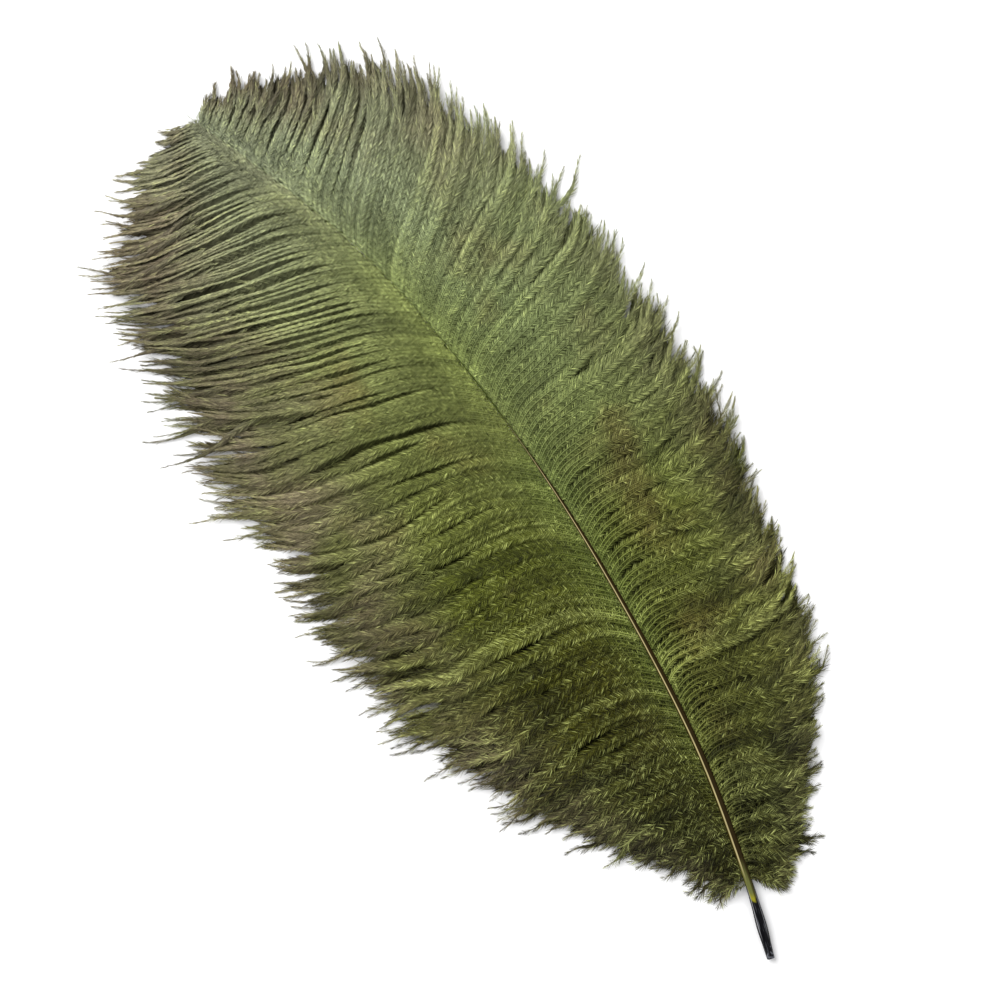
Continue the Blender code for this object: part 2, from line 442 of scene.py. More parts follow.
@dataclass(frozen=True)
class BarbLayer:
    """One layer of a vane's barbs: how many, how high they lie and how loosely they gather."""

    coat: Coat
    seed: int
    per_vane: int
    lift: float
    height_share: float
    heading_jitter: float
    length_range: tuple[float, float]
    lock_pull: tuple[float, float]
    group_pull: tuple[float, float]
    gathering: SmoothCurve = curve(
        (0.0, 0.6), (0.20, 0.6), (0.36, 0.95), (0.50, 1.0), (0.68, 0.40), (1.0, 0.35)
    )
    group_sizes: tuple[int, int] = (2, 5)
    group_spread: float = 0.0007
    lock_spread: float = 0.85
    group_onset: Onset = Onset(0.22, 0.55)
    lock_onset: Onset = Onset(0.10, 0.50)
    longest_reach: float = 1.06
    points: int = 26
    first: float = 0.074
    last: float = 0.988
    root_jitter: float = 0.3
    bend_onset: Onset = Onset(0.0, 0.15)
    stepped_turn: float = 0.25
    turn_share: float = 0.45
    stepped_length: float = 0.2
    short_by: float = 0.0008
    shortest: float = 0.6
    strays: SmoothCurve = curve((0.0, 0.0), (1.0, 0.0))
    stray_lengths: tuple[float, float] = (0.004, 0.012)
    length_follow: float = 0.7
    even_ends: float = 0.1
    start: float = 0.0
    crowding: SmoothCurve = curve((0.0, 1.7), (0.2, 1.4), (0.4, 1.0), (0.8, 1.0), (1.0, 1.2))
    tip_height: float = 0.0016
    dome: float = 0.0010
    dome_onset: Onset = Onset(0.25, 0.4)
    shingle: float = 0.0005
    shingle_onset: Onset = Onset(0.1, 0.3)
    lock_lift: float = 0.0006
    group_lift: float = 0.0008
    barb_lift: float = 0.0004
    bundle_lift_onset: Onset = Onset(0.0, 0.4)
    barb_lift_onset: Onset = Onset(0.0, 0.2)
    bump_onset: Onset = Onset(0.0, 0.1)
    bumps: int = 6
    lock_wave: float = 0.0012
    group_wave: float = 0.0009
    barb_wave: float = 0.0005
    wave_turns: tuple[float, float, float] = (1.1, 1.6, 2.1)
    quicker: float = 2.3
    quick_size: float = 0.5
    wave_onset: Onset = Onset(0.0, 0.8)
    waved_length: float = 0.09
    waviness: SmoothCurve = curve((0.0, 1.0), (0.45, 1.0), (0.7, 0.5), (1.0, 0.4))
    tones: tuple[float, float, float] = (0.45, 0.35, 0.10)
    lowest: float = 0.0006
    highest: float = 0.0104
    above_highest: float = 0.2
    droop: SmoothCurve = curve((0.0, 0.94), (0.08, 1.02), (0.25, 0.96), (0.5, 0.76), (0.75, 0.42), (1.0, 0.0))

    def lay(
        self, growth: VaneGrowth, seen: VaneGrowth, shaft: ShaftLine, locks: LockPlan, drawn: np.ndarray
    ) -> BarbRun:
        """Lays out one vane's barbs.

        Args:
            growth: The vane's lengths and headings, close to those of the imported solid.
            seen: The lengths and headings that the barbs show; each still ends where growth takes it.
            shaft: The line that the barbs grow from.
            locks: The plan of the locks.
            drawn: The vane's drawn locks, one row each.

        Returns:
            The barbs' middle lines.
        """
        rng = np.random.default_rng(self.seed + (growth.side is Side.LEFT))
        n = self.per_vane
        share = np.linspace(0.0, 1.0, self.points)[None, :]
        along = self._spread_roots(rng, growth, shaft, share)
        lock_places = locks.places()
        lock_pitch = lock_places[1] - lock_places[0]
        lock = np.clip(np.round((along - lock_places[0]) / lock_pitch), 0, locks.per_vane - 1).astype(int)
        offset = np.clip((along - lock_places[lock]) / (lock_pitch / 2), -1, 1)
        group, rank = self._group(rng, n)

        lock_length = growth.read("length", lock_places) * shaft.plume_length * drawn[:, 0]
        lock_turn = np.radians(drawn[:, 1])
        lock_lines = self._walk(growth, shaft, lock_places, lock_length, lock_turn, share, 0.0)
        even_length = np.interp(along, lock_places, drawn[:, 0])
        even_turn = np.interp(along, lock_places, lock_turn)
        turn = self.turn_share * (even_turn + (lock_turn[lock] - even_turn) * self.stepped_turn)
        own_share = rng.uniform(*self.length_range, n)
        length = seen.read("length", along) * shaft.plume_length * own_share
        even_length = even_length + (drawn[lock, 0] - even_length) * self.stepped_length
        length = length * (1 + (even_length - 1) * self.length_follow)
        length = np.maximum(length - self.short_by, self.shortest * length)
        further = rng.uniform(*self.stray_lengths, n)[group] * rng.uniform(0.5, 1.0, n)
        length = length + np.where(rng.random(n)[group] < self.strays(along), further, 0)
        jitter = np.radians(rng.normal(0, self.heading_jitter, n))[:, None]
        packed_way = self._walk(growth, shaft, along, length, turn, share, jitter)
        line = self._walk(seen, shaft, along, length, turn, share, jitter)
        line = line + (packed_way[:, -1:] - line[:, -1:]) * share[:, :, None]

        gathered = self.gathering(along)[:, None]
        line = self._pull_to_groups(rng, line, group, rank, gathered * self.group_onset(share))
        reach = np.clip(length / lock_length[lock], 0, self.longest_reach)[:, None] * share
        half_width = self._lock_half_width(growth, locks, drawn)[lock][:, None] * locks.swell(reach)
        packed = read_between(lock_lines, lock[:, None], reach)
        spread = (offset[:, None] * self.lock_spread * half_width)[:, :, None]
        packed = packed - spread * self._across(lock_lines)[lock]
        pull = rng.uniform(*self.lock_pull, n)[:, None] * gathered * self.lock_onset(share)
        line = line + (packed - line) * pull[:, :, None]

        sizes = (self.lock_wave, self.group_wave, self.barb_wave)
        waves = zip((lock, group, np.arange(n)), sizes, self.wave_turns)
        wave = sum(self._wave(rng, share, which, size, turns) for which, size, turns in waves)
        calm = np.clip(length / self.waved_length, 0.1, 1.0)[:, None] * self.waviness(along)[:, None]
        line[:, :, :2] += (wave * calm * self.wave_onset(share))[:, :, None] * self._across(line)[:, :, :2]
        root = shaft.at(along)[:, 2][:, None]
        line[:, :, 2] = self._heights(rng, root, share, offset, locks.per_vane, lock, group)
        own, grouped, locked = self.tones
        tone = own * rng.normal(0, 1, n) + grouped * rng.normal(0, 1, n)[group]
        tone = tone + locked * rng.normal(0, 1, locks.per_vane)[lock]
        run = BarbRun(line, along, tone, length, growth.side)
        return run.outer_end(self.start) if self.start else run

    def _spread_roots(
        self, rng: np.random.Generator, growth: VaneGrowth, shaft: ShaftLine, share: np.ndarray
    ) -> np.ndarray:
        """Spreads the barbs' roots along the shaft, between even spacing at the roots and at the ends.

        Args:
            rng: Where each root's shift comes from.
            growth: The vane's lengths and headings.
            shaft: The line that the barbs grow from.
            share: The shares of a barb that have a point.

        Returns:
            Where each barb grows, as a share of the plume's length.
        """
        fine = np.linspace(self.first, self.last, 400)
        fine_length = growth.read("length", fine) * shaft.plume_length
        ends = self._walk(growth, shaft, fine, fine_length, 0 * fine, share, 0.0)[:, -1]
        apart = np.linalg.norm(np.gradient(ends, axis=0), axis=1)
        crowd = self.crowding(fine) / self.crowding(fine).mean()
        filled = np.cumsum(crowd + (apart / apart.mean() - crowd) * self.even_ends)
        filled = (filled - filled[0]) / (filled[-1] - filled[0])
        shift = rng.uniform(-self.root_jitter, self.root_jitter, self.per_vane)
        return np.interp((np.arange(self.per_vane) + 0.5 + shift) / self.per_vane, filled, fine)

    def _heights(
        self, rng: np.random.Generator, root: np.ndarray, share: np.ndarray, offset: np.ndarray,
        locks: int, lock: np.ndarray, group: np.ndarray,
    ) -> np.ndarray:
        """How high the barbs lie.

        Args:
            rng: Where the lifts of locks, groups and barbs come from.
            root: The height of each barb's root.
            share: The shares of a barb that have a point.
            offset: How far each barb is from its lock's middle, -1 to 1.
            locks: How many locks there are.
            lock: Each barb's lock.
            group: Each barb's group.

        Returns:
            One row of heights per barb.
        """
        n = self.per_vane
        height = self.tip_height + (root - self.tip_height) * self.droop(share) * self.height_share
        height = height - self.dome * offset[:, None] ** 2 * self.dome_onset(share)
        height = height + self.shingle * offset[:, None] * self.shingle_onset(share)
        bundle_onset = self.bundle_lift_onset(share)
        height = height + rng.normal(0, self.lock_lift, locks)[lock][:, None] * bundle_onset
        height = height + rng.normal(0, self.group_lift, n)[group][:, None] * bundle_onset
        height = height + rng.normal(0, self.barb_lift, n)[:, None] * self.barb_lift_onset(share)
        knots = np.linspace(0, 1, self.bumps)
        bumps = np.stack([np.interp(share[0], knots, row) for row in rng.normal(0, 1, (n, self.bumps))])
        height = height + self.barb_lift * bumps * self.bump_onset(share) + self.lift
        height = np.minimum(height, self.highest - self.above_highest * (self.highest - height))
        return np.maximum(height, self.lowest)

    def _group(self, rng: np.random.Generator, count: int) -> tuple[np.ndarray, np.ndarray]:
        """Sorts neighbouring barbs into small groups.

        Args:
            rng: Where the groups' sizes come from.
            count: How many barbs there are.

        Returns:
            Each barb's group and its place in it, counted from the group's middle.
        """
        sizes = rng.integers(*self.group_sizes, count)
        group = np.repeat(np.arange(count), sizes)[:count]
        size = np.bincount(group)
        first = np.cumsum(size) - size
        return group, np.arange(count) - first[group] - (size[group] - 1) / 2

    def _pull_to_groups(
        self, rng: np.random.Generator, line: np.ndarray, group: np.ndarray, rank: np.ndarray,
        gathered: np.ndarray,
    ) -> np.ndarray:
        """Draws the barbs of each group together towards their ends.

        Args:
            rng: Where each group's pull comes from.
            line: The barbs' middle lines.
            group: Each barb's group.
            rank: Each barb's place in its group.
            gathered: How much of its group's pull each point takes.

        Returns:
            The lines, drawn together.
        """
        size = np.bincount(group)
        first = np.cumsum(size) - size
        leader = np.add.reduceat(line, first, axis=0) / size[:, None, None]
        packed = leader[group]
        packed = packed - (rank * self.group_spread)[:, None, None] * self._across(leader)[group]
        pull = rng.uniform(*self.group_pull, len(size))[group][:, None] * gathered
        return line + (packed - line) * pull[:, :, None]

    @staticmethod
    def _lock_half_width(growth: VaneGrowth, locks: LockPlan, drawn: np.ndarray) -> np.ndarray:
        """The greatest half width of each lock.

        Args:
            growth: The vane's lengths.
            locks: The plan of the locks.
            drawn: The vane's drawn locks, one row each.

        Returns:
            One half width per lock.
        """
        fullness = growth.read("length", locks.places()) / locks.full_width_length
        fullness = np.minimum(1.0, locks.short_width + (1 - locks.short_width) * fullness)
        return locks.half_width * fullness * drawn[:, 2]

    def _wave(
        self, rng: np.random.Generator, share: np.ndarray, which: np.ndarray, size: float, turns: float
    ) -> np.ndarray:
        """A sideways wave that all barbs of the same bundle share.

        Args:
            rng: Where the wave starts from.
            share: The shares of a barb that have a point.
            which: Each barb's bundle.
            size: How far the wave swings out.
            turns: How many times it does so along a barb.

        Returns:
            One row of sideways shifts per barb.
        """
        phase = rng.uniform(0, 1, (2, which.max() + 1))[:, which, None]
        slow = np.sin(2 * np.pi * (turns * share + phase[0]))
        quick = np.sin(2 * np.pi * (self.quicker * turns * share + phase[1]))
        return size * (slow + self.quick_size * quick)

    def _walk(
        self, growth: VaneGrowth, shaft: ShaftLine, along: np.ndarray, length: np.ndarray,
        turn: np.ndarray, share: np.ndarray, jitter: np.ndarray | float,
    ) -> np.ndarray:
        """Walks lines out from the shaft along their headings.

        Args:
            growth: The vane's headings.
            shaft: The line to start from.
            along: Where each line starts.
            length: Each line's length.
            turn: Each line's extra turn at its tip, in radians.
            share: The shares of a line that have a point.
            jitter: Each line's extra turn all along, in radians.

        Returns:
            One row of points per line.
        """
        middle = (share[:, 1:] + share[:, :-1]) / 2
        heading = growth.headings(along, middle) + turn[:, None] * middle + jitter * self.bend_onset(middle)
        steps = np.diff(share, axis=1) * length[:, None]
        sideways = growth.side.value * np.sin(heading) * steps
        moves = np.stack((sideways, np.cos(heading) * steps, 0 * heading), -1)
        start = shaft.at(along)[:, None, :]
        return np.concatenate((start, start + np.cumsum(moves, axis=1)), axis=1)

    @staticmethod
    def _across(lines: np.ndarray) -> np.ndarray:
        """The level direction across each line at each point."""
        return across_lines(unit(np.gradient(lines, axis=1)))


@dataclass(frozen=True)
class Barbules:
    """The two rows of fine blades on each barb, the barb's own thin rib and the down beside it."""

    seed: int
    pitch: float
    width: float
    length: SmoothCurve
    angle: SmoothCurve
    lift: dict[Side, SmoothCurve]
    combed: dict[Side, SmoothCurve]
    combed_length: SmoothCurve = curve(
        (0.0, 0.0024), (0.2, 0.0022), (0.4, 0.0019), (0.6, 0.0023), (0.85, 0.0040), (1.0, 0.0018)
    )
    combed_angle: SmoothCurve = curve((0.0, 54), (0.14, 44), (0.3, 17), (0.6, 12), (1.0, 5))
    looseness: SmoothCurve = curve((0.0, 1.8), (0.2, 1.6), (0.45, 1.0), (0.7, 0.7), (1.0, 0.6))
    loose_onset: Onset = Onset(0.12, 0.25)
    hanging: SmoothCurve = curve((0.0, -26), (0.3, -18), (0.5, 0), (0.68, 22), (1.0, 26))
    hanging_end: dict[Side, float] = field(default_factory=lambda: {Side.RIGHT: 0.40, Side.LEFT: 0.16})
    hanging_hold: float = 0.35
    per_tuft: int = 3
    tuft_pull: float = 0.55
    # How far the last blade of each tuft is darkened, as painted shade between tufts.
    tuft_shade: float = 2.1
    tuft_noise: float = 0.7
    blade_noise: float = 0.45
    lift_jitter: float = 6.0
    tuft_lift_jitter: float = 9.0
    angle_jitter: float = 3.2
    roll_jitter: float = 35.0
    blade_lengths: tuple[float, float] = (0.85, 1.12)
    tuft_lengths: tuple[float, float] = (0.88, 1.10)
    blade_widths: tuple[float, float] = (0.8, 1.2)
    widest: float = 0.45
    pull_at_widest: float = 0.35
    end_width: float = 0.50
    narrow_from: float = 0.7
    forward_bend: float = 0.20
    sag: float = 0.20
    rib_radius: dict[Side, SmoothCurve] = field(
        default_factory=lambda: by_side(
            curve((0.0, 0.00025), (0.35, 0.00020), (0.55, 0.00011), (1.0, 0.00011)),
            curve((0.0, 0.00026), (0.08, 0.00024), (0.15, 0.00011), (1.0, 0.00011)),
        )
    )
    rib_along: SmoothCurve = curve(
        (0.0, 0.70), (0.25, 0.80), (0.45, 0.90), (0.60, 0.75), (0.75, 0.45), (1.0, 0.40)
    )
    ribs: bool = True
    rib_sides: int = 3
    bare_root: float = 0.0003
    bare_tip: float = 0.0008
    bare_tip_most: float = 0.2
    down_width: float = 0.0
    down_points: int = 60
    down_start: float = 0.06
    down_end: float = 0.96
    down_fullness: float = 7.0
    full_down_length: float = 0.04
    down_noise: float = 0.4
    # How far the down's tone is lowered, as painted shade beneath the blades.
    down_shade: float = -1.0
    down_middle_drop: float = 0.0004
    down_edge_drop: float = 0.0006
    down_droop: float = 0.25
    floor_gap: float = 0.00015

    def grow(self, run: BarbRun, parts: MeshParts) -> None:
        """Adds the ribs, the down and the blades of a run of barbs.

        Args:
            run: The barbs' middle lines.
            parts: The mesh that they are added to.
        """
        if self.ribs:
            self._grow_ribs(run, parts)
        if self.down_width:
            self._grow_down(run, parts)
        for row in (1, -1):
            self._grow_blades(run, row, parts)

    @staticmethod
    def _add(
        run: BarbRun,
        parts: MeshParts,
        places: np.ndarray,
        faces: list[np.ndarray],
        marks: dict[str, np.ndarray | float],
        row: np.ndarray,
        shift: np.ndarray | float = 0.0,
    ) -> None:
        """Adds geometry with the numbers that the dye reads and its place on the map.

        Args:
            run: The barbs that it grows on.
            parts: The mesh that it is added to.
            places: The vertices, in an array of any shape.
            faces: Arrays of vertex numbers, one row per face.
            marks: The share, reach, tone and plume of each vertex, which spread over that shape.
            row: Each vertex's place up the map.
            shift: How far each vertex is shifted across the map.
        """
        shape = places.shape[:-1]
        values = {name: np.broadcast_to(v, shape).ravel() for name, v in marks.items()}
        values["side"] = np.full(values["share"].shape, run.side.value)
        spots = np.broadcast_arrays(run.on_map(marks["share"]) + shift, row, np.empty(shape))[:2]
        parts.add(places.reshape(-1, 3), faces, values, np.stack(spots, -1).reshape(-1, 2))

    def _grow_ribs(self, run: BarbRun, parts: MeshParts) -> None:
        """Adds a thin tapered tube along each barb.

        Args:
            run: The barbs' middle lines.
            parts: The mesh that the tubes are added to.
        """
        n, m, _ = run.points.shape
        share = run.shares(m)
        across = across_lines(run.tangents())
        above = np.cross(across, run.tangents())
        turn = 2 * np.pi * np.arange(self.rib_sides) / self.rib_sides + np.pi / 2
        radius = self.rib_radius[run.side](share)[None, :] * self.rib_along(run.along)[:, None]
        ring = across[:, :, None, :] * np.cos(turn)[:, None] + above[:, :, None, :] * np.sin(turn)[:, None]
        number = np.arange(n * m * self.rib_sides).reshape(n, m, self.rib_sides)
        after = np.roll(number, -1, axis=2)
        faces = np.stack((number[:, :-1], after[:, :-1], after[:, 1:], number[:, 1:]), -1).reshape(-1, 4)
        row = (np.arange(n)[:, None, None] + 0.47 + 0.02 * np.arange(self.rib_sides)) / n
        marks = {
            "share": share[None, :, None],
            "reach": 0.0,
            "tone": run.tone[:, None, None],
            "plume": run.along[:, None, None],
        }
        places = run.points[:, :, None, :] + ring * radius[:, :, None, None]
        self._add(run, parts, places, [faces], marks, row)

    def _grow_down(self, run: BarbRun, parts: MeshParts) -> None:
        """Adds the dense down beside each barb, as a drooping strip with ragged edges, darkened as painted
        shade.

        Args:
            run: The barbs' middle lines.
            parts: The mesh that the strips are added to.
        """
        rng = np.random.default_rng(self.seed + 3)
        n = len(run.along)
        share = run.shares(self.down_points, self.down_end)
        barb = np.arange(n)[:, None]
        at = np.broadcast_to(share, (n, len(share)))
        middle = run.read(run.points, barb, at)
        across = across_lines(unit(run.read(run.tangents(), barb, at)))
        fading = 1 - (share / self.down_end) ** self.down_fullness
        taper = ease(run.on_map(share) / self.down_start) * fading
        taper = taper * np.clip(run.length / self.full_down_length, 0.2, 1.0)[:, None]
        half = self.down_width * taper * rng.uniform(0.5, 1.0, (2, n, len(share)))
        drop = self.down_edge_drop * UP + self.down_droop * half[..., None] * UP
        left = middle - across * half[0][..., None] - drop[0]
        right = middle + across * half[1][..., None] - drop[1]
        places = np.stack((left, middle - UP * self.down_middle_drop, right), 2)
        places[..., 2] = np.maximum(places[..., 2], self.floor_gap)
        number = np.arange(places.size // 3).reshape(n, len(share), 3)
        strips = [
            np.stack((number[:, :-1, k], number[:, :-1, k + 1], number[:, 1:, k + 1], number[:, 1:, k]), -1)
            for k in (0, 1)
        ]
        # The down's tone is lowered a fixed step as painted shade beneath the blades.
        tone = run.tone[:, None, None] + self.down_noise * rng.normal(0, 1, number.shape)
        marks = {
            "share": share[None, :, None],
            "reach": np.array((1.0, 0.6, 1.0)),
            "tone": tone + self.down_shade,
            "plume": run.along[:, None, None],
        }
        row = (np.arange(n)[:, None, None] + 0.5 + np.array((-0.44, 0.0, 0.44))) / n
        self._add(run, parts, places, [np.concatenate(strips, axis=1).reshape(-1, 4)], marks, row)

    def _grow_blades(self, run: BarbRun, row: int, parts: MeshParts) -> None:
        """Adds one side's row of blades, each narrow at both ends and bent at its middle.

        Args:
            run: The barbs' middle lines.
            row: The side of the barb, 1 or -1.
            parts: The mesh that they are added to.
        """
        rng = np.random.default_rng(self.seed + 7 * (run.side is Side.LEFT) + 13 * row + len(run.along))
        reach = run.length * (1 - run.start)
        count = np.maximum((reach / self.pitch).astype(int), 3)
        barb = np.repeat(np.arange(len(count)), count)
        order = np.arange(len(barb)) - np.repeat(np.cumsum(count) - count, count)
        bare = self.bare_root / reach[barb]
        bladed = 1 - bare - np.minimum(self.bare_tip / reach[barb], self.bare_tip_most)
        share = run.start + (1 - run.start) * (bare + bladed * (order + 0.5) / count[barb])
        share = run.start + (1 - run.start) * (bare + bladed * (order + 0.5) / count[barb])
        tuft = order // self.per_tuft
        tuft_key = np.unique(barb * (order.max() + 1) + tuft, return_inverse=True)[1]
        tufts = tuft_key.max() + 1
        pull = ((tuft + 0.5) * self.per_tuft - (order + 0.5)) * self.pitch * self.tuft_pull
        n = len(share)
        plume = run.along[barb]
        loose = 1 + (self.looseness(plume) - 1) * self.loose_onset(share)
        combed = self.combed[run.side](plume)

        base = run.read(run.points, barb, share)
        ahead = unit(run.read(run.tangents(), barb, share))
        out = row * across_lines(ahead)
        above = unit(np.cross(np.cross(ahead, UP), ahead))
        angle = self.angle(share) * (1 - combed) + self.combed_angle(share) * combed
        angle = np.radians(angle + loose * rng.normal(0, self.angle_jitter, n))
        hang_end = self.hanging_end[run.side]
        hang_onset = Onset(self.hanging_hold * hang_end, (1 - self.hanging_hold) * hang_end)
        lift = self.lift[run.side](share) + self.hanging(plume) * (1 - hang_onset(share))
        lift = lift + loose * rng.normal(0, self.lift_jitter, n)
        lift = np.radians(lift + loose * rng.normal(0, self.tuft_lift_jitter, tufts)[tuft_key])
        length = self.length(share) * (1 - combed) + self.combed_length(share) * combed
        length = length * rng.uniform(*self.blade_lengths, n)
        length = length * rng.uniform(*self.tuft_lengths, tufts)[tuft_key]
        sideways = out * np.cos(lift)[:, None] + above * np.sin(lift)[:, None]
        first = ahead * np.cos(angle)[:, None] + sideways * np.sin(angle)[:, None]
        last = unit(first + self.forward_bend * ahead - self.sag * above)
        middle = base + first * (self.widest * length)[:, None]
        middle = middle + ahead * (self.pull_at_widest * pull)[:, None]
        tip = middle + last * ((1 - self.widest) * length)[:, None]
        tip = tip + ahead * ((1 - self.pull_at_widest) * pull)[:, None]
        roll = np.radians(rng.normal(0, self.roll_jitter, n))
        flat = unit(np.cross(first, above))
        edge = flat * np.cos(roll)[:, None] + np.cross(first, flat) * np.sin(roll)[:, None]
        narrow = np.interp(share, (0.0, self.narrow_from, 1.0), (1.0, 1.0, self.end_width))
        half = (0.5 * self.width * narrow * rng.uniform(*self.blade_widths, n))[:, None] * edge
        places = np.stack((base, middle + half, tip, middle - half), 1)
        places[:, :, 2] = np.maximum(places[:, :, 2], self.floor_gap)
        number = np.arange(n * 4).reshape(-1, 4)
        shade = run.tone[barb] + self.tuft_noise * rng.normal(0, 1, tufts)[tuft_key]
        shade = shade + self.blade_noise * rng.normal(0, 1, n)
        # Painted shade between tufts: the last blade of each tuft is darkened, the others lightened a little
        # to keep the mean.
        between = order % self.per_tuft == self.per_tuft - 1
        shade = shade + self.tuft_shade * (1 / self.per_tuft - between)
        marks = {
            "share": share[:, None],
            "reach": np.array((0.05, 0.5, 1.0, 0.5)),
            "tone": shade[:, None],
            "plume": plume[:, None],
        }
        up = (barb[:, None] + 0.5 + row * np.array((0.03, 0.24, 0.46, 0.24))) / len(run.along)
        shift = (0.5 / count[barb])[:, None] * np.array((0.0, 0.9, 0.0, -0.9))
        self._add(run, parts, places, [number[:, (0, 1, 3)], number[:, (1, 2, 3)]], marks, up, shift)


class Number:
    """A number that a material works out, from which sums and products make others."""

    def __init__(self, nodes: "Nodes", socket: bpy.types.NodeSocket) -> None:
        """Keeps the socket that gives the number."""
        self.nodes, self.socket = nodes, socket

    def __add__(self, other: "Number | float") -> "Number":
        """The sum of both."""
        return self.nodes.math("ADD", self, other)

    def __sub__(self, other: "Number | float") -> "Number":
        """This less the other."""
        return self.nodes.math("SUBTRACT", self, other)

    def __rsub__(self, other: float) -> "Number":
        """The other less this."""
        return self.nodes.math("SUBTRACT", other, self)

    def __mul__(self, other: "Number | float") -> "Number":
        """The product of both."""
        return self.nodes.math("MULTIPLY", self, other)

    def __truediv__(self, other: float) -> "Number":
        """This over the other."""
        return self.nodes.math("DIVIDE", self, other)

    def __pow__(self, power: float) -> "Number":
        """This to a power."""
        return self.nodes.math("POWER", self, power)

    def __abs__(self) -> "Number":
        """Its size without a sign."""
        return self.nodes.math("ABSOLUTE", self)

    __radd__ = __add__

    def at_least(self, other: "Number") -> "Number":
        """The greater of both."""
        return self.nodes.math("MAXIMUM", self, other)

    def span(self, low: float, high: float, start: "Number | float", end: "Number | float") -> "Number":
        """Maps the span low to high onto start to end, and holds it there."""
        inputs = {"Value": self, "From Min": low, "From Max": high, "To Min": start, "To Max": end}
        return Number(self.nodes, self.nodes.add("ShaderNodeMapRange", inputs, clamp=True)["Result"])


class Nodes:
    """Short ways to add shader nodes to one material."""

    def __init__(self, name: str) -> None:
        """Starts a material with only its output and its Principled shader."""
        self.material = bpy.data.materials.new(name)
        self.material.use_nodes = True
        self.tree = self.material.node_tree

    def add(self, kind: str, inputs: dict[str | int, object], **settings: object) -> bpy.types.NodeOutputs:
        """Adds a node.

        Args:
            kind: The type of node.
            inputs: What each of its inputs is fed, by name or number.
            settings: Its properties.

        Returns:
            The node's outputs.
        """
        node = self.tree.nodes.new(kind)
        for name, value in settings.items():
            setattr(node, name, value)
        self.feed(node, inputs)
        return node.outputs

    def feed(self, node: bpy.types.Node, inputs: dict[str | int, object]) -> None:
        """Links a node's inputs to other nodes, or sets a number or colour on them.

        Args:
            node: The node.
            inputs: What each input is fed, by name or number.
        """
        for name, value in inputs.items():
            value = value.socket if isinstance(value, Number) else value
            if isinstance(value, bpy.types.NodeSocket):
                self.tree.links.new(value, node.inputs[name])
            else:
                node.inputs[name].default_value = value

    def finish(self, inputs: dict[str, object]) -> bpy.types.Material:
        """Feeds the shader's inputs and hands over the material."""
        self.feed(self.tree.nodes["Principled BSDF"], inputs)
        return self.material

    def attribute(self, name: str) -> Number:
        """Reads one of the mesh's own numbers."""
        return Number(self, self.add("ShaderNodeAttribute", {}, attribute_name=name)["Fac"])

    def noise(self, scale: float, detail: float = 3.0, place: bpy.types.NodeSocket | None = None) -> Number:
        """Noise about one half.

        Args:
            scale: How fine it is.
            detail: How many finer layers it has.
            place: Where to read it, in place of the piece's own space.

        Returns:
            The noise.
        """
        place = place or self.add("ShaderNodeTexCoord", {})["Object"]
        noise = self.add("ShaderNodeTexNoise", {"Vector": place, "Scale": scale, "Detail": detail})
        return Number(self, noise["Fac"])

    def place(self, *parts: Number) -> bpy.types.NodeSocket:
        """A place made of two or three numbers."""
        return self.add("ShaderNodeCombineXYZ", dict(enumerate(parts)))[0]

    def math(self, operation: str, *terms: Number | float) -> Number:
        """Works out a number from one or two others."""
        return Number(self, self.add("ShaderNodeMath", dict(enumerate(terms)), operation=operation)[0])

    def grey(self, level: Number) -> bpy.types.NodeSocket:
        """The grey of one level."""
        return self.add("ShaderNodeCombineColor", {channel: level for channel in range(3)})[0]

    def mix(self, share: Number | float, a: object, b: object, blend: str = "MIX") -> bpy.types.NodeSocket:
        """Mixes two colours."""
        return self.add("ShaderNodeMix", {0: share, 6: a, 7: b}, data_type="RGBA", blend_type=blend)[2]

    def ramp(self, value: Number, stops: tuple) -> bpy.types.NodeSocket:
        """A colour ramp.

        Args:
            value: Where on the ramp to read.
            stops: The ramp's (place, colour) stops.

        Returns:
            The colour there.
        """
        node = self.tree.nodes.new("ShaderNodeValToRGB")
        elements = node.color_ramp.elements
        while len(elements) < len(stops):
            elements.new(0.5)
        for element, (place, colour) in zip(elements, stops):
            element.position = place
            element.color = colour
        self.feed(node, {"Fac": value})
        return node.outputs["Color"]


def screen_colour(red: int, green: int, blue: int) -> tuple[float, float, float, float]:
    """A colour given as it looks on a screen, 0 to 255, as the linear colour that a shader takes."""
    parts = np.array((red, green, blue)) / 255
    return (*map(float, np.where(parts <= 0.04045, parts / 12.92, ((parts + 0.055) / 1.055) ** 2.4)), 1.0)


def marks_to_stops(*marks: tuple[float, int, int, int]) -> tuple:
    """Ramp stops from (place, red, green, blue) marks with colours as they look on a screen."""
    return tuple((place, screen_colour(*colour)) for place, *colour in marks)


class BarbNumbers(NamedTuple):
    """What the dye reads from a vane's mesh."""

    share: Number
    tone: Number
    plume: Number
    reach: Number
    side: Number


